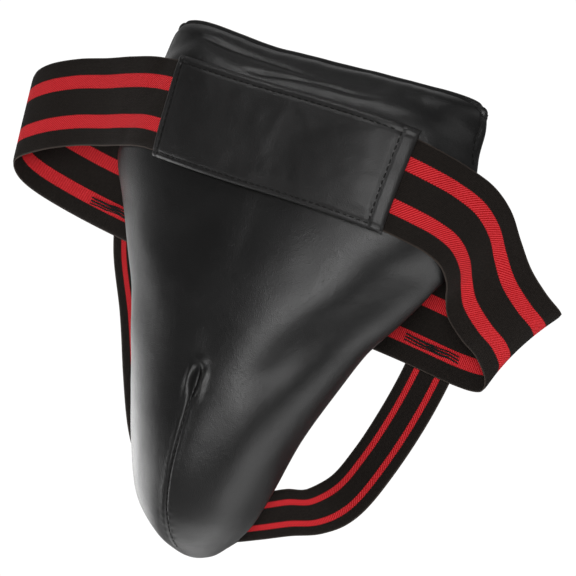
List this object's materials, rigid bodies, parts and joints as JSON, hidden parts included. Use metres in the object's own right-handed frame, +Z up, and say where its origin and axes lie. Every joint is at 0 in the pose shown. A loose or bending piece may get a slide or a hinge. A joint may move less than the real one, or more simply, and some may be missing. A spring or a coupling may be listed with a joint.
{
  "type": "groin protector",
  "caption": "Padded leather-covered groin guard with a tapering rigid cup, a wide elastic waistband sewn across its front and elastic leg straps from its lower tip.",
  "frame": {"origin": "centre of the flat body-side face of the belly panel, behind the waistband patch, on the guard's plane of symmetry", "axes": "+X across the guard to the viewer's right, +Y back towards the wearer, -Y to the front, +Z up"},
  "size_m": [0.3502, 0.1087, 0.2895],
  "materials": {
    "cover_leather": "satin black synthetic leather, fine grain",
    "patch_leather": "satin black synthetic leather",
    "elastic": "woven black elastic with red stripes",
    "thread": "black polyester thread",
    "lining_cloth": "matt black lining cloth",
    "foam": "dark grey closed-cell foam, matt",
    "shell_plastic": "moulded black plastic, matt"
  },
  "bodies": {
    "guard": {"cup_cover": "cover_leather", "strap_anchor_tab": "cover_leather", "belt_patch": "patch_leather", "shock_foam": "foam", "rim_pad": "foam", "belly_pad_foam": "foam", "cup_shell": "shell_plastic", "cup_lining": "lining_cloth", "belly_panel": "lining_cloth", "waistband_end_right": "elastic", "waistband_end_left": "elastic", "leg_strap_right": "elastic", "leg_strap_left": "elastic", "centre_seam_thread": "thread", "patch_stitching": "thread", "panel_edge_stitching": "thread", "rim_stitching": "thread", "anchor_tack": "thread"},
    "waistband": {"waistband_loop": "elastic", "leg_tack_right": "thread", "leg_tack_left": "thread"}
  },
  "joints": [
    {"name": "waistband_swing", "type": "hinge", "parent": "guard", "child": "waistband", "pos_m": [-0.00375, -0.00225, -0.021], "axis": [0.987, 0.08, -0.1395], "range_deg": [0, 50], "deforming": ["leg_strap_right", "leg_strap_left"]}
  ]
}
